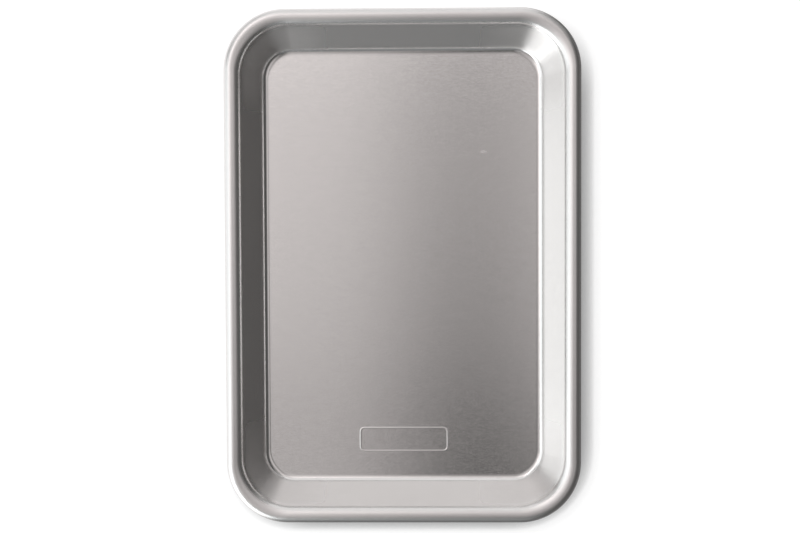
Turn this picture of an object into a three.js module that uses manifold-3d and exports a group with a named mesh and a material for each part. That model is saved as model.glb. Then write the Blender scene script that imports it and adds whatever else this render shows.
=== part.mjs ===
// A small rimmed sheet pan for baking.
// One aluminium sheet is drawn into a shallow tray, and its edge is rolled around a steel wire.
// Millimetres, +Z up. The origin is the middle of the floor's underside, and +Y runs along the pan.

import * as THREE from 'three';
import { mergeVertices } from 'three/addons/utils/BufferGeometryUtils.js';
import Module from 'manifold-3d';

const wasm = await Module();
wasm.setup();

// Overall size, over the rolled rim
const PAN_WIDTH = 181;
const PAN_LENGTH = 261.5;
const PAN_HEIGHT = 25.4;

// Stock: the sheet's thickness, and the wire that stiffens the rim
const SHEET = 1;
const WIRE_DIAMETER = 4.8;
const WIRE_CLEARANCE = 0.3;
const WIRE_BUTT_GAP = 0.8;

// Corners in plan. The arcs' centres move outwards by the two shifts, from the floor to the wall
// and from the wall to the rim, so that the fillet and the rim's roll are wider round the corners.
const FLOOR_CORNER_RADIUS = 13.7;
const FILLET_CORNER_SHIFT = 1;
const ROLL_CORNER_SHIFT = 1.9;

// The section from the floor outwards: a fillet, the straight wall, a roll over the top, and the curl.
// Slopes are in degrees above level, and radii are those of the inside of the bend.
const FILLET_RADIUS = 4;
const WALL_SLOPE = 67;
const ROLL_RADIUS = 4.5;
const CURL_END_SLOPE = -255;

// The raised frame near the front of the floor, pressed up from below
const FRAME_WIDTH = 46.8;
const FRAME_DEPTH = 13;
const FRAME_LINE = 0.8;
const FRAME_CORNER_RADIUS = 2.6;
const FRAME_RELIEF = 0.2;
const FRAME_TO_FLOOR_EDGE = 12.2;

// Fineness of the facets
const BEND_STEP = 18;
const CORNER_STEPS = 8;
const WIRE_SIDES = 14;
const FRAME_ARC_STEPS = 4;

const wireRadius = WIRE_DIAMETER / 2;
const curlInsideRadius = wireRadius + WIRE_CLEARANCE;
const beadRadius = curlInsideRadius + SHEET;

// The sheet's centre line is walked outwards from the edge of the flat floor.
// Each move is a straight run or a bend, and names the plan corner that it ends on.
const run = (length, corner) => ({ length, corner });
const bend = (toSlope, insideRadius, corner) => ({ toSlope, radius: insideRadius + SHEET / 2, corner });

function movesToCurl(wallLength) {
  return [
    bend(WALL_SLOPE, FILLET_RADIUS, 'wall'),
    run(wallLength, 'wall'),
    bend(0, ROLL_RADIUS, 'rim'),
  ];
}

// Where a bend's centre lies: above the sheet where it turns up, below it where it turns down.
function bendCentre(here, move) {
  const side = Math.sign(move.toSlope - here.slope) * move.radius;
  const slope = THREE.MathUtils.degToRad(here.slope);
  return { out: here.out - side * Math.sin(slope), up: here.up + side * Math.cos(slope), side };
}

function afterRun(here, length) {
  const slope = THREE.MathUtils.degToRad(here.slope);
  return { ...here, out: here.out + length * Math.cos(slope), up: here.up + length * Math.sin(slope) };
}

function afterBend(here, move, toSlope) {
  const centre = bendCentre(here, move);
  const slope = THREE.MathUtils.degToRad(toSlope);
  const out = centre.out + centre.side * Math.sin(slope);
  const up = centre.up - centre.side * Math.cos(slope);
  return { ...here, out, up, slope: toSlope };
}

// Walks the moves and returns every point of the centre line, the floor's edge first.
function walk(moves) {
  const points = [{ out: 0, up: SHEET / 2, slope: 0, from: 'floor', to: 'floor', share: 0 }];
  for (const move of moves) {
    const start = points.at(-1);
    const turn = 'length' in move ? 0 : move.toSlope - start.slope;
    const steps = Math.max(1, Math.ceil(Math.abs(turn) / BEND_STEP));
    for (let step = 1; step <= steps; step++) {
      const share = step / steps;
      const next = turn ? afterBend(start, move, start.slope + turn * share) : afterRun(start, move.length);
      points.push({ ...next, from: start.to, to: move.corner, share });
    }
  }
  return points;
}

// The curl starts level at the rim's top, and passes its outer edge and bottom on the way to its end.
const curlSlopes = [-90, -180, -270].filter((slope) => slope > CURL_END_SLOPE);
const curl = [...curlSlopes, CURL_END_SLOPE].map((slope) => bend(slope, curlInsideRadius, 'rim'));

// The wall is as long as the pan's height needs, and the floor takes what the sides leave.
const withoutWall = bendCentre(walk(movesToCurl(0)).at(-1), curl[0]);
const wallRise = PAN_HEIGHT - beadRadius - withoutWall.up;
const wallLength = wallRise / Math.sin(THREE.MathUtils.degToRad(WALL_SLOPE));
const beadCentre = bendCentre(walk(movesToCurl(wallLength)).at(-1), curl[0]);
const sideRun = beadCentre.out + beadRadius;

// How far the centre of each plan corner lies from the pan's outer edges
const floorInset = sideRun + FLOOR_CORNER_RADIUS;
const wallInset = floorInset - FILLET_CORNER_SHIFT;
const rimInset = wallInset - ROLL_CORNER_SHIFT;
const cornerInset = { floor: floorInset, wall: wallInset, rim: rimInset };

// One point of a section as a closed loop around the pan, counter-clockwise from above.
function loopAround({ out, up, inset }) {
  const radius = inset - (sideRun - out);
  const loop = [];
  for (let corner = 0; corner < 4; corner++) {
    const middle = (corner + 0.5) * Math.PI / 2;
    const centreX = Math.sign(Math.cos(middle)) * (PAN_WIDTH / 2 - inset);
    const centreY = Math.sign(Math.sin(middle)) * (PAN_LENGTH / 2 - inset);
    for (let step = 0; step <= CORNER_STEPS; step++) {
      const angle = (corner + step / CORNER_STEPS) * Math.PI / 2;
      loop.push(new THREE.Vector3(centreX + radius * Math.cos(angle), centreY + radius * Math.sin(angle), up));
    }
  }
  return loop;
}

// Skins neighbouring loops with quads. The section runs counter-clockwise, outwards along its underside.
function skin(loops, closed) {
  const positions = loops.flat().flatMap((point) => point.toArray());
  const columns = loops[0].length;
  const faces = [];
  const bands = closed ? loops.length : loops.length - 1;
  for (let band = 0; band < bands; band++) {
    const near = band * columns;
    const far = ((band + 1) % loops.length) * columns;
    for (let column = 0; column < columns; column++) {
      const next = (column + 1) % columns;
      faces.push(near + column, near + next, far + next, near + column, far + next, far + column);
    }
  }
  if (!closed) {
    const top = (loops.length - 1) * columns;
    const flat = loops[0].map((point) => new THREE.Vector2(point.x, point.y));
    for (const [a, b, c] of THREE.ShapeUtils.triangulateShape(flat, [])) {
      faces.push(c, b, a, top + a, top + b, top + c);
    }
  }
  const geometry = new THREE.BufferGeometry();
  geometry.setAttribute('position', new THREE.Float32BufferAttribute(positions, 3));
  geometry.setIndex(faces);
  return geometry;
}

// A closed geometry as a solid that can be joined and cut, and back again
function solidOf(geometry) {
  const bare = geometry.clone();
  bare.deleteAttribute('normal');
  bare.deleteAttribute('uv');
  const merged = mergeVertices(bare);
  const vertProperties = merged.attributes.position.array;
  const triVerts = new Uint32Array(merged.index.array);
  return new wasm.Manifold(new wasm.Mesh({ numProp: 3, vertProperties, triVerts }));
}

function geometryOf(solid) {
  const { vertProperties, triVerts } = solid.getMesh();
  const geometry = new THREE.BufferGeometry();
  geometry.setAttribute('position', new THREE.BufferAttribute(vertProperties, 3));
  geometry.setIndex(new THREE.BufferAttribute(triVerts, 1));
  geometry.computeVertexNormals();
  return geometry;
}

// The drawn sheet: its underside outwards to the end of the curl, then its upper side back to the floor
function drawnSheet() {
  const centreLine = walk([...movesToCurl(wallLength), ...curl]);
  const side = (sign) => centreLine.map(({ out, up, slope, from, to, share }) => {
    const angle = THREE.MathUtils.degToRad(slope);
    const inset = THREE.MathUtils.lerp(cornerInset[from], cornerInset[to], share);
    const half = sign * SHEET / 2;
    return { out: out - half * Math.sin(angle), up: up + half * Math.cos(angle), inset };
  });
  const section = [...side(-1), ...side(1).reverse()];
  return solidOf(skin(section.map(loopAround), false));
}

function roundedRectangle(ShapeClass, width, depth, radius) {
  const outline = new ShapeClass();
  for (let corner = 0; corner < 4; corner++) {
    const middle = (corner + 0.5) * Math.PI / 2;
    const x = Math.sign(Math.cos(middle)) * (width / 2 - radius);
    const y = Math.sign(Math.sin(middle)) * (depth / 2 - radius);
    outline.absarc(x, y, radius, corner * Math.PI / 2, (corner + 1) * Math.PI / 2, false);
  }
  return outline.closePath();
}

// The frame's line as an upright ring, standing on a level
function frameRing(bottom, height) {
  const shape = roundedRectangle(THREE.Shape, FRAME_WIDTH, FRAME_DEPTH, FRAME_CORNER_RADIUS);
  const innerRadius = Math.max(FRAME_CORNER_RADIUS - FRAME_LINE, FRAME_LINE / 2);
  const innerWidth = FRAME_WIDTH - 2 * FRAME_LINE;
  const innerDepth = FRAME_DEPTH - 2 * FRAME_LINE;
  shape.holes.push(roundedRectangle(THREE.Path, innerWidth, innerDepth, innerRadius));
  const options = { depth: height, bevelEnabled: false, curveSegments: FRAME_ARC_STEPS };
  const floorEdge = sideRun - PAN_LENGTH / 2;
  const middle = floorEdge + FRAME_TO_FLOOR_EDGE + FRAME_DEPTH / 2;
  return solidOf(new THREE.ExtrudeGeometry(shape, options).translate(0, middle, bottom));
}

function panSheet() {
  const raised = frameRing(SHEET / 2, SHEET / 2 + FRAME_RELIEF);
  const pressed = frameRing(-FRAME_RELIEF, 2 * FRAME_RELIEF);
  return geometryOf(drawnSheet().add(raised).subtract(pressed));
}

// The rim's wire: one length bent around the pan, its ends butting behind the middle of the back edge
function rimWire() {
  const section = Array.from({ length: WIRE_SIDES }, (_, side) => {
    const angle = 2 * Math.PI * side / WIRE_SIDES;
    const out = beadCentre.out + wireRadius * Math.cos(angle);
    return { out, up: beadCentre.up + wireRadius * Math.sin(angle), inset: rimInset };
  });
  const ring = solidOf(skin(section.map(loopAround), true));
  const cutter = new THREE.BoxGeometry(WIRE_BUTT_GAP, 2 * beadRadius, 2 * beadRadius);
  cutter.translate(0, PAN_LENGTH / 2 - beadRadius, beadCentre.up);
  return geometryOf(ring.subtract(solidOf(cutter)));
}

function piece(name, geometry, color, roughness) {
  const mesh = new THREE.Mesh(geometry, new THREE.MeshStandardMaterial({ color, roughness, metalness: 1 }));
  mesh.name = name;
  return mesh;
}

const sheetPan = new THREE.Group();
sheetPan.add(piece('pan_sheet', panSheet(), 0xc4c0bd, 0.4));
sheetPan.add(piece('rim_wire', rimWire(), 0x9a9fa3, 0.5));

export default sheetPan;
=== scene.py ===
# %% [markdown]
# # A small sheet pan
# A sheet pan is one aluminium sheet, pressed into a shallow tray, with its edge rolled around a
# steel wire. The CAD part already has both pieces at their real size, in coarse facets. This file
# models them again finely, gives them their finish, and sets the light and the camera.

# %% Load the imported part
import math

import bmesh
import bpy
from mathutils import Matrix, Vector


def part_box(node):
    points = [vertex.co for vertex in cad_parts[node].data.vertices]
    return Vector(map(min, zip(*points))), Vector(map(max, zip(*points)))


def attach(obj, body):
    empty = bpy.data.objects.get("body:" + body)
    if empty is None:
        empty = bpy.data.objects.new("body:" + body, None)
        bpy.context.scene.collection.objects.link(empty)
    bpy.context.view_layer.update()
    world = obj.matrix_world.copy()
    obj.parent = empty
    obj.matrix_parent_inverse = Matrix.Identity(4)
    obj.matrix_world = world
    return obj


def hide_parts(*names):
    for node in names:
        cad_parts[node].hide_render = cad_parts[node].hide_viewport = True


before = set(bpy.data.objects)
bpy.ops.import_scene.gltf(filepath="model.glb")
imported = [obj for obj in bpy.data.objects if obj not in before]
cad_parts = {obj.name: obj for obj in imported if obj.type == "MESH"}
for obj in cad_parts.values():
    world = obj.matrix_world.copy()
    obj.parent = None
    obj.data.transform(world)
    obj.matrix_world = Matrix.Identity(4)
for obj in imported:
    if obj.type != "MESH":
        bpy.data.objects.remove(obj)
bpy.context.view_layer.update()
MM = 0.001
low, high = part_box("pan_sheet")
PAN_WIDTH, PAN_LENGTH, PAN_HEIGHT = high - low
print("nodes:", sorted(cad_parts), "size in mm:", [round(side / MM, 2) for side in high - low])

# %% [markdown]
# ## The section of the sheet
# Cut the pan anywhere along a side and the sheet shows the same line: flat floor, a round fillet, the
# sloping wall, a roll over the top, and the curl around the wire. Such a line is easiest to walk, as a
# bending machine would feed it: straight runs and bends, one after another. A bend is a turn in
# degrees with the radius on its inside, and a run is a turn of nothing.

# %% Moves of the section, from the floor outwards
SHEET = 1.0 * MM
WIRE_RADIUS = 2.4 * MM
WIRE_CLEARANCE = 0.3 * MM
CURL_RADIUS = WIRE_RADIUS + WIRE_CLEARANCE
ROLL_RADIUS = 4.5 * MM
FILLET_RADIUS = 4.0 * MM
FLOOR_STRIP = 0.8 * MM
WALL_SLOPE = 67


def run(length):
    return 0.0, length


def bend(turn, inside_radius):
    return math.radians(turn), inside_radius


def side_moves(wall):
    side = [run(FLOOR_STRIP), bend(WALL_SLOPE, FILLET_RADIUS), run(wall), bend(-WALL_SLOPE, ROLL_RADIUS)]
    curl = [bend(turn, CURL_RADIUS) for turn in (-90, -90, -75)]
    return side + curl


def upper_side(moves):
    return [(turn, size if turn >= 0 else size + SHEET) for turn, size in moves]


def under_side_back(moves):
    return [(-turn, size + SHEET if turn > 0 else size) for turn, size in reversed(moves)]


print("moves:", len(side_moves(0)))

# %% [markdown]
# ## Drawing the walk
# Blender has two operators for this. Extruding a vertex draws a straight run, and spinning it about
# a point draws a bend. The pen keeps its heading, so each move starts where the last one ended. A
# bend of no radius turns the pen on the spot, which makes the square cut at the sheet's end.

# %% Draw a section as a chain of edges
FACET = math.radians(5)


def draw_section(bm, start, moves):
    tip, heading = bm.verts.new(start), 0.0
    for turn, size in moves:
        if turn == 0:
            tip = bmesh.ops.extrude_vert_indiv(bm, verts=[tip])["verts"][0]
            tip.co += Vector((math.cos(heading), 0, math.sin(heading))) * size
        elif size:
            left = Vector((-math.sin(heading), 0, math.cos(heading)))
            spun = bmesh.ops.spin(
                bm, geom=[tip], cent=tip.co + left * math.copysign(size, turn), axis=(0, -1, 0),
                angle=turn, steps=math.ceil(abs(turn) / FACET))
            tip = next(part for part in spun["geom_last"] if isinstance(part, bmesh.types.BMVert))
        heading += turn
    return tip


def measure_side(wall):
    """How far the upper side reaches out from the floor's edge, and how high."""
    bm = bmesh.new()
    draw_section(bm, (-FLOOR_STRIP, 0, SHEET), upper_side(side_moves(wall)))
    reach = max(vert.co.x for vert in bm.verts), max(vert.co.z for vert in bm.verts)
    bm.free()
    return reach


WALL = (PAN_HEIGHT - measure_side(0)[1]) / math.sin(math.radians(WALL_SLOPE))
SIDE_RUN, RIM_TOP = measure_side(WALL)
print("wall, run and top in mm:", [round(size / MM, 3) for size in (WALL, SIDE_RUN, RIM_TOP)])

# %% [markdown]
# ## A corner and two half sides
# The pan is the same in its four quarters, so one is made and mirrored. The section is spun a
# quarter turn about the corner's centre, and its two ends are pulled out to the middle of the sides.

# %% Sweep a section around one quarter of the pan
FLOOR_CORNER_RADIUS = 13.7 * MM
CORNER_FACETS = 36
floor_inset = SIDE_RUN + FLOOR_CORNER_RADIUS
corner = Vector((PAN_WIDTH / 2 - floor_inset, PAN_LENGTH / 2 - floor_inset, 0))
SAME_PLACE = 1e-6


def sweep_quarter(bm):
    first = bm.edges[:]
    spun = bmesh.ops.spin(
        bm, geom=bm.verts[:] + first, cent=corner, axis=(0, 0, 1), angle=math.pi / 2, steps=CORNER_FACETS)
    last = [part for part in spun["geom_last"] if isinstance(part, bmesh.types.BMEdge)]
    for ends, way in ((first, Vector((0, -corner.y, 0))), (last, Vector((-corner.x, 0, 0)))):
        pulled = bmesh.ops.extrude_edge_only(bm, edges=ends)["geom"]
        verts = [part for part in pulled if isinstance(part, bmesh.types.BMVert)]
        bmesh.ops.translate(bm, verts=verts, vec=way)


def mirror_quarter(bm):
    for axis in "XY":
        bmesh.ops.mirror(bm, geom=bm.verts[:] + bm.edges[:] + bm.faces[:], axis=axis, merge_dist=SAME_PLACE)
    bmesh.ops.remove_doubles(bm, verts=bm.verts[:], dist=SAME_PLACE)


pan = bmesh.new()
edge_start = (corner.x + FLOOR_CORNER_RADIUS - FLOOR_STRIP, corner.y, SHEET)
square_cut = [bend(-90, 0), run(SHEET), bend(-90, 0)]
moves = side_moves(WALL)
end = draw_section(pan, edge_start, upper_side(moves) + square_cut + under_side_back(moves))
print("the walk ends under its start:", [round(size / MM, 3) for size in end.co])
sweep_quarter(pan)
print("quarter:", len(pan.verts), "vertices")

# %% [markdown]
# ## Wider bends round the corners
# The press's corner tools aren't quite concentric: the fillet and the roll are a little wider round
# the corners than along the sides. A spin can't do that, so the rings of the corner move afterwards.
# Each ring keeps its distance to the sides, and only the centre of its arc moves. A zone says between
# which distances from the rim's outer edge that move grows.

# %% Move the centres of the corner's arcs
FILLET_CORNER_SHIFT = 1.0 * MM
ROLL_CORNER_SHIFT = 1.9 * MM
FILLET_ZONE = (17.3 * MM, 20.3 * MM)
ROLL_ZONE = (4.5 * MM, 8.5 * MM)


def smooth_step(value, zone):
    share = min(1, max(0, (value - zone[0]) / (zone[1] - zone[0])))
    return share * share * (3 - 2 * share)


def shift_arc(vert, from_edge):
    arm = (vert.co - corner).to_2d()
    out = arm.normalized() - Vector((1, 1))
    shift = FILLET_CORNER_SHIFT * (1 - smooth_step(from_edge, FILLET_ZONE))
    shift += ROLL_CORNER_SHIFT * (1 - smooth_step(from_edge, ROLL_ZONE))
    vert.co -= (out * shift).to_3d()


for vert in pan.verts:
    if vert.co.x > corner.x - SAME_PLACE and vert.co.y > corner.y - SAME_PLACE:
        shift_arc(vert, floor_inset - (vert.co - corner).to_2d().length)
mirror_quarter(pan)
print("four quarters:", len(pan.verts), "vertices")

# %% [markdown]
# ## The floor and its raised frame
# Near one end the press raises a thin rounded frame from the floor. It starts as one flat face with
# its corners bevelled round, and insets with a height then shape the line, up one flank and down the
# other. The rest of the floor fills the space between the frame and the sides.

# %% Fill both sides of the floor
FRAME_WIDTH, FRAME_DEPTH = 47.8 * MM, 14.0 * MM
FRAME_CORNER_RADIUS = 3.1 * MM
FRAME_PLACE = -91.7 * MM
FLANK = [(0.5, 0), (0.08, 0.01), (0.10, 0.03), (0.10, 0.04), (0.08, 0.02), (0.05, 0.01)]
FLANK_DOWN = [(inset, -rise) for inset, rise in reversed(FLANK)]


def raise_frame(bm, level):
    others = set(bm.faces)
    place = Matrix.LocRotScale((0, FRAME_PLACE, level), None, (FRAME_WIDTH, FRAME_DEPTH, 1))
    corners = bmesh.ops.create_grid(bm, x_segments=1, y_segments=1, size=0.5, matrix=place)["verts"]
    bmesh.ops.bevel(
        bm, geom=corners, offset=FRAME_CORNER_RADIUS, offset_type="OFFSET", affect="VERTICES",
        segments=8, profile=0.5, material=-1)
    inside = next(face for face in bm.faces if face not in others)
    for inset, rise in FLANK + FLANK_DOWN:
        bmesh.ops.inset_region(
            bm, faces=[inside], thickness=inset * MM, depth=rise * MM,
            use_boundary=True, use_even_offset=True)


def fill_floor(bm, level):
    raise_frame(bm, level)
    rims = [edge for edge in bm.edges if edge.is_boundary and abs(edge.verts[0].co.z - level) < SAME_PLACE]
    return bmesh.ops.triangle_fill(bm, edges=rims, use_beauty=True)["geom"]


print("floor faces:", len(fill_floor(pan, SHEET)), "above and", len(fill_floor(pan, 0)), "below")

# %% [markdown]
# ## One closed piece
# The quarters, the floor and the frame are now one shell. Its faces are turned to point outwards,
# it is shaded smooth except at the square cut, and it takes the place of the coarse CAD sheet.

# %% Make the pan's object
SHARP = math.radians(40)


def make_piece(bm, name, node):
    bmesh.ops.recalc_face_normals(bm, faces=bm.faces[:])
    open_edges = sum(not edge.is_manifold for edge in bm.edges)
    volume = bm.calc_volume(signed=True)
    mesh = bpy.data.meshes.new(name)
    bm.to_mesh(mesh)
    bm.free()
    mesh.shade_smooth()
    mesh.set_sharp_from_angle(angle=SHARP)
    piece = bpy.data.objects.new(name, mesh)
    bpy.context.scene.collection.objects.link(piece)
    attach(piece, "root")
    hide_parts(node)
    print(name, len(mesh.polygons), "faces,", open_edges, "open edges,", round(volume * 1e6, 2), "cm3")
    return piece


drawn_pan = make_piece(pan, "drawn_pan", "pan_sheet")

# %% [markdown]
# ## The wire in the rim
# The curl is rolled around a thick steel wire. It hardly shows: a slit under the rim lets it be
# seen from below. A circle takes the same way around the pan as the sheet, and the ring is cut open
# in the middle of the back edge, where the two ends of the real wire butt together.

# %% Make the wire
WIRE_SIDES = 24
WIRE_BUTT_GAP = 0.8 * MM
BEAD_RADIUS = CURL_RADIUS + SHEET
wire = bmesh.new()
bead_centre = (PAN_WIDTH / 2 - BEAD_RADIUS, corner.y, PAN_HEIGHT - BEAD_RADIUS)
upright = Matrix.Translation(bead_centre) @ Matrix.Rotation(math.pi / 2, 4, "X")
bmesh.ops.create_circle(wire, segments=WIRE_SIDES, radius=WIRE_RADIUS, matrix=upright)
sweep_quarter(wire)
for vert in wire.verts:
    if vert.co.x > corner.x - SAME_PLACE and vert.co.y > corner.y - SAME_PLACE:
        shift_arc(vert, 0)
mirror_quarter(wire)
for side in (-1, 1):
    back = [part for part in wire.verts[:] + wire.edges[:] + wire.faces[:]
            if all(vert.co.y > 0 for vert in getattr(part, "verts", [part]))]
    bmesh.ops.bisect_plane(wire, geom=back, plane_co=(side * WIRE_BUTT_GAP / 2, 0, 0), plane_no=(1, 0, 0))
between = [vert for vert in wire.verts if vert.co.y > 0 and abs(vert.co.x) < WIRE_BUTT_GAP / 2 - SAME_PLACE]
bmesh.ops.delete(wire, geom=between, context="VERTS")
bmesh.ops.holes_fill(wire, edges=[edge for edge in wire.edges if edge.is_boundary], sides=WIRE_SIDES)
rim_wire = make_piece(wire, "stiffening_wire", "rim_wire")

# %% [markdown]
# ## Writing materials as sums
# A material is a graph of nodes. Sums read better as Python, so one small class wraps a socket: an
# operator on it adds a Math node, and its node method adds any other node.

# %% A value on its way through a material


class Signal:
    def __init__(self, tree, socket=None):
        self.tree, self.socket = tree, socket

    def node(self, kind, settings=None, sockets=None, output=0):
        made = self.tree.nodes.new(kind)
        for name, value in (settings or {}).items():
            setattr(made, name, value)
        for name, value in (sockets or {}).items():
            if isinstance(value, Signal):
                self.tree.links.new(value.socket, made.inputs[name])
            else:
                made.inputs[name].default_value = value
        return Signal(self.tree, made.outputs[output] if made.outputs else None)

    def math(self, operation, first, second):
        return self.node("ShaderNodeMath", {"operation": operation}, {0: first, 1: second})

    def __add__(self, other):
        return self.math("ADD", self, other)

    def __sub__(self, other):
        return self.math("SUBTRACT", self, other)

    def __rsub__(self, other):
        return self.math("SUBTRACT", other, self)

    def __mul__(self, other):
        return self.math("MULTIPLY", self, other)

    def __abs__(self):
        return self.math("ABSOLUTE", self, 0.0)

    __radd__, __rmul__ = __add__, __mul__


def new_material(name):
    material = bpy.data.materials.new(name)
    material.use_nodes = True
    material.node_tree.nodes.clear()
    return material, Signal(material.node_tree)


def finish_material(graph, shader):
    graph.node("ShaderNodeOutputMaterial", sockets={"Surface": shader})


print("signals add, subtract and multiply")

# %% [markdown]
# ## Patterns that follow a place
# A finish changes over a piece: grain, flecks, worn edges. All of these can be worked out from where
# a point lies on the piece, with two helpers. Noise is a random pattern, and its stretch says how often
# it changes per metre along X, Y and Z. A ramp goes from 0 to 1 between two values, soft at both ends.

# %% Noise and ramps


def noise(graph, place, stretch):
    vector = graph.node("ShaderNodeVectorMath", {"operation": "MULTIPLY"}, {0: place, 1: stretch})
    return graph.node("ShaderNodeTexNoise", sockets={"Vector": vector, "Scale": 1.0})


def ramp(graph, value, start, end):
    return graph.node("ShaderNodeMapRange", {"interpolation_type": "SMOOTHSTEP"}, {
        "Value": value, "From Min": start, "From Max": end})


print("patterns: noise and ramp")

# %% [markdown]
# ## Where the sheet is drawn and worn
# The press leaves the floor as it was rolled, but it drags the sides over its tools, which dulls them,
# and the walls of the corners most. Use wears the top of the rim. Painting masks by hand would do, but
# the height above the floor and the distance past the corner's centre say the same, and stay right when
# a size changes. Each share goes from 0 to 1.

# %% Shares of the drawn sides, the corners' walls and the rim's top
WALL_FOOT = 1.3 * MM, 2.5 * MM
WALL_HEAD = 18 * MM, 22 * MM
WORN_TOP = 24 * MM, 25 * MM
CORNER_FADE = 20 * MM


def drawn_shares(graph, place):
    x, y, z = (graph.node("ShaderNodeSeparateXYZ", sockets={"Vector": place}, output=axis) for axis in "XYZ")
    risen = ramp(graph, z, *WALL_FOOT)
    wall = risen - ramp(graph, z, *WALL_HEAD)
    past_x = ramp(graph, abs(x), corner.x - CORNER_FADE, corner.x)
    past_y = ramp(graph, abs(y), corner.y - CORNER_FADE, corner.y)
    return risen, past_x * past_y * wall, ramp(graph, z, *WORN_TOP)


print("corners are full past, in mm:", [round(size / MM, 1) for size in corner.xy])

# %% [markdown]
# ## Satin aluminium
# Rolled sheet has a fine grain, here across the pan. It spreads reflections along the pan but hardly
# across it. A shader can fake that with its anisotropy, but a very fine bump, long in X and short in Y,
# does what the real grain does. The grain is finer than a pixel, so the bump's filter is kept narrow.
# Clouds make the shine a little uneven, blotches and flecks do the same for the tone, and one short
# scuff breaks the shine of the floor.

# %% The aluminium of the sheet
DULL_ALUMINIUM = (0.86, 0.84, 0.833, 1)
FRESH_ALUMINIUM = (0.88, 0.86, 0.853, 1)
GRAIN_DEPTH = 0.015 * MM
GRAIN_FILTER = 0.03
SCUFF_PLACE = (42.2 * MM, 59.5 * MM, SHEET)
SCUFF_SIZE = (2.6 * MM, 1 * MM, 1 * MM)
aluminium, graph = new_material("satin aluminium")
place = graph.node("ShaderNodeTexCoord", output="Object")
grain = noise(graph, place, (300, 12000, 300))
clouds = noise(graph, place, (22, 22, 22))
blotches = ramp(graph, noise(graph, place, (160, 320, 160)), 0.3, 0.7)
flecks = ramp(graph, noise(graph, place, (300, 2000, 300)), 0.3, 0.7)
tone = graph.node("ShaderNodeMix", {"data_type": "RGBA"}, {
    "Factor": 0.5 * blotches + 0.5 * flecks, 6: DULL_ALUMINIUM, 7: FRESH_ALUMINIUM}, output=2)
bumped = graph.node("ShaderNodeBump", output="Normal", sockets={
    "Strength": 1.0, "Distance": GRAIN_DEPTH, "Filter Width": GRAIN_FILTER, "Height": grain})
from_scuff = graph.node("ShaderNodeMapping", {"vector_type": "TEXTURE"}, {
    "Vector": place, "Location": SCUFF_PLACE, "Scale": SCUFF_SIZE})
scuff_way = graph.node("ShaderNodeVectorMath", {"operation": "LENGTH"}, {0: from_scuff}, output="Value")
scuff = ramp(graph, scuff_way, 1, 0.4)
drawn, corner_wall, rim_top = drawn_shares(graph, place)
roughness = 0.085 + 0.02 * clouds + 0.2 * scuff
roughness += 0.17 * drawn + 0.1 * corner_wall + 0.06 * rim_top
metal = graph.node("ShaderNodeBsdfPrincipled", sockets={
    "Base Color": tone, "Metallic": 1.0, "Roughness": roughness, "Normal": bumped})
finish_material(graph, metal)
drawn_pan.data.materials.append(aluminium)
print("aluminium nodes:", len(aluminium.node_tree.nodes))

# %% [markdown]
# ## Zinc-coated wire
# The wire is dull grey steel with a thin coat of zinc, which clouds into patches. One noise drives both
# the tone and the shine, because the lighter patches of zinc are the duller ones too.

# %% The zinc of the wire
DARK_ZINC = (0.40, 0.41, 0.42, 1)
LIGHT_ZINC = (0.58, 0.59, 0.60, 1)
zinc, graph = new_material("zinc coat")
place = graph.node("ShaderNodeTexCoord", output="Object")
patches = noise(graph, place, (400, 400, 400))
tone = graph.node("ShaderNodeMix", {"data_type": "RGBA"}, {
    "Factor": patches, 6: DARK_ZINC, 7: LIGHT_ZINC}, output=2)
metal = graph.node("ShaderNodeBsdfPrincipled", sockets={
    "Base Color": tone, "Metallic": 1.0, "Roughness": 0.45 + 0.15 * patches})
finish_material(graph, metal)
rim_wire.data.materials.append(zinc)
print("zinc nodes:", len(zinc.node_tree.nodes))

# %% [markdown]
# ## The table
# The pan lies on a plain white table. It is one large square.

# %% The table's top
TABLE_HALF = 10.0
table_mesh = bpy.data.meshes.new("table")
flat = bmesh.new()
bmesh.ops.create_grid(flat, x_segments=1, y_segments=1, size=TABLE_HALF)
flat.to_mesh(table_mesh)
flat.free()
table = bpy.data.objects.new("table", table_mesh)
bpy.context.scene.collection.objects.link(table)
print("the table is", 2 * TABLE_HALF, "m wide")

# %% [markdown]
# ## White that keeps a shadow
# Lamps that suit the metal leave white paint grey, so the table also glows: for the camera, and for
# what mirrors it. A plain glow would wipe out the pan's shadow. So it is scaled by how much open sky
# each place has, which the Ambient Occlusion node measures around any direction. Here that direction
# leans towards the lamps, and the shade falls to the other side. In the metal the table is a little
# dimmer, and only its half towards the lamps glows, because the real rim is dark on the far side.

# %% The table's paint
TABLE_PAINT = (0.3, 0.3, 0.3, 1)
TABLE_GLOW = 0.95
MIRRORED_GLOW = 0.8
SHADE_REACH = 25 * MM
HALF_FADE = 30 * MM
TO_THE_LIGHT = {"X": -0.65, "Y": 0.9, "Z": 0.5}
white, graph = new_material("white table")
kinds = ("Is Camera Ray", "Is Glossy Ray", "Is Transmission Ray")
camera_ray, glossy_ray, glass_ray = (graph.node("ShaderNodeLightPath", output=kind) for kind in kinds)
light_side = graph.node("ShaderNodeCombineXYZ", sockets=TO_THE_LIGHT)
open_sky = graph.node("ShaderNodeAmbientOcclusion", {"samples": 16}, {
    "Distance": SHADE_REACH, "Normal": light_side}, output="AO")
shade = open_sky * open_sky * open_sky
place = graph.node("ShaderNodeTexCoord", output="Object")
x, y = (graph.node("ShaderNodeSeparateXYZ", sockets={"Vector": place}, output=axis) for axis in "XY")
lit_half = ramp(graph, 0.5 * y - x, -HALF_FADE, HALF_FADE)
seen = camera_ray + glass_ray + MIRRORED_GLOW * lit_half * glossy_ray
paint = graph.node("ShaderNodeBsdfDiffuse", sockets={"Color": TABLE_PAINT})
glow = graph.node("ShaderNodeEmission", sockets={"Strength": TABLE_GLOW * shade * seen})
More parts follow.
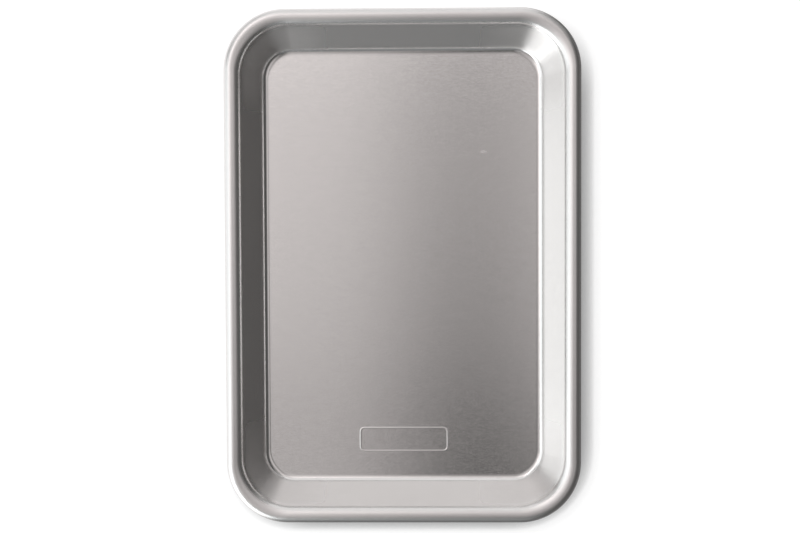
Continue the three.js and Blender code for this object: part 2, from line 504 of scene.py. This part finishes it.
finish_material(graph, graph.node("ShaderNodeAddShader", sockets={0: paint, 1: glow}))
table_mesh.materials.append(white)
print("table nodes:", len(white.node_tree.nodes))

# %% [markdown]
# ## Panels of light
# Metal shows what stands around it, so the lamps are large plain panels. What a mirror shows of a lamp
# is its brightness per area, so a panel is given that, and its power follows from its size. An overhead
# panel is given its height and how far it reaches across the pan and along it, in metres.

# %% A panel, and an overhead panel
WARM = (1, 0.95, 0.945)
COOL = (1, 1.04, 1.045)
COLD = (1, 1.08, 1.1)
PLAIN = (1, 1, 1)


def softbox(name, place, aim, size, radiance, tint):
    lamp = bpy.data.lights.new(name, "AREA")
    lamp.color = tint
    lamp.shape = "RECTANGLE"
    lamp.size, lamp.size_y = size
    lamp.energy = radiance * math.pi * size[0] * size[1]
    panel = bpy.data.objects.new(name, lamp)
    panel.location = place
    panel.rotation_euler = (Vector(aim) - Vector(place)).to_track_quat("-Z", "Y").to_euler()
    bpy.context.scene.collection.objects.link(panel)


def overhead(name, height, across, along, radiance):
    place = Vector((sum(across) / 2, sum(along) / 2, height))
    size = across[1] - across[0], along[1] - along[0]
    softbox(name, place, place - Vector((0, 0, 1)), size, radiance, WARM)


print("tints:", WARM, COOL, COLD, PLAIN)

# %% [markdown]
# ## The ceiling
# The floor shows what hangs above it: light that grows towards the back and the left, and a darker
# place at the front right. One panel with a picture of that gradient could do it. Overlapping panels
# are simpler: each hangs at its own height, and where they overlap their light adds up.

# %% Hang the ceiling
overhead("ceiling", 0.95, (-0.6, 0.7), (-0.25, 0.85), 0.155)
overhead("middle of the ceiling", 0.97, (-0.6, 0.4), (-0.13, 0.85), 0.07)
overhead("back half of the ceiling", 0.99, (-0.6, 0.4), (0.06, 0.85), 0.08)
overhead("back end of the ceiling", 1.01, (-0.6, 0.4), (0.36, 0.85), 0.42)
overhead("front end of the ceiling", 1.01, (-0.6, 0.05), (-0.9, -0.4), 0.28)
overhead("left half of the ceiling", 1.03, (-0.6, -0.026), (-0.5, 0.85), 0.28)
overhead("left end of the ceiling", 1.05, (-0.75, -0.33), (-0.2, 0.85), 0.7)
overhead("right end of the ceiling", 1.05, (0.2, 0.6), (-0.6, 0.3), 0.28)
print("overhead panels:", len(bpy.data.lights))

# %% [markdown]
# ## The panels around the pan
# The walls and the rim mirror the sides of the room. A wall shows the side that it faces, so the right
# wall is bright because the left panels are, and the left wall is dark because nothing stands on the
# right. The light is weaker at the back and dim in front.

# %% Stand the side panels
MIDDLE = (0, 0, 0.1)
LEFT_AIM = (0, -0.07, 0.1)
softbox("left panel", (-0.95, -0.12, 0.25), LEFT_AIM, (0.93, 0.5), 0.9, COOL)
softbox("left upper panel", (-0.8, -0.12, 0.75), LEFT_AIM, (0.93, 0.55), 1.15, COOL)
softbox("left front panel", (-0.68, -0.765, 0.4), MIDDLE, (0.8, 0.75), 1.8, COOL)
softbox("left back panel", (-0.75, 0.75, 0.5), MIDDLE, (0.7, 0.9), 0.55, PLAIN)
softbox("back panel", (-0.05, 1.0, 0.5), MIDDLE, (0.9, 0.9), 0.74, PLAIN)
softbox("right back panel", (0.55, 0.85, 0.5), MIDDLE, (0.6, 0.9), 0.25, PLAIN)
softbox("front panel", (-0.02, -1.0, 0.5), MIDDLE, (0.76, 0.9), 0.14, COLD)
print("all panels:", [lamp.name for lamp in bpy.data.lights])

# %% [markdown]
# ## The room
# Whatever no panel covers is the room. The metal sees it as dim grey, and the camera sees it as white,
# so that a low view has a white background past the table's edge. The Standard view shows colours as
# they are.

# %% The room
ROOM_GREY = (0.085, 0.085, 0.083, 1)
PAPER_WHITE = (1, 1, 1, 1)
world = bpy.data.worlds.new("room")
world.use_nodes = True
world.node_tree.nodes.clear()
graph = Signal(world.node_tree)
camera_ray = graph.node("ShaderNodeLightPath", output="Is Camera Ray")
room = graph.node("ShaderNodeBackground", sockets={"Color": ROOM_GREY})
paper = graph.node("ShaderNodeBackground", sockets={"Color": PAPER_WHITE})
backdrop = graph.node("ShaderNodeMixShader", sockets={0: camera_ray, 1: room, 2: paper})
graph.node("ShaderNodeOutputWorld", sockets={"Surface": backdrop})
bpy.context.scene.world = world
bpy.context.scene.view_settings.view_transform = "Standard"
print("room nodes:", len(world.node_tree.nodes))

# %% [markdown]
# ## The camera
# The camera looks almost straight down, from a little behind and to the right of the pan's middle. Its
# lens is long, so the sides lean only a little.

# %% The camera
lens = bpy.data.cameras.new("camera")
lens.sensor_width = 36.0
lens.lens = 53.2
camera = bpy.data.objects.new("camera", lens)
camera.location = (9.1 * MM, 20.1 * MM, 622.3 * MM)
camera.rotation_euler = [math.radians(angle) for angle in (-1.90, 0.99, -0.24)]
bpy.context.scene.collection.objects.link(camera)
bpy.context.scene.camera = camera
print("camera at", [round(value, 4) for value in camera.location])
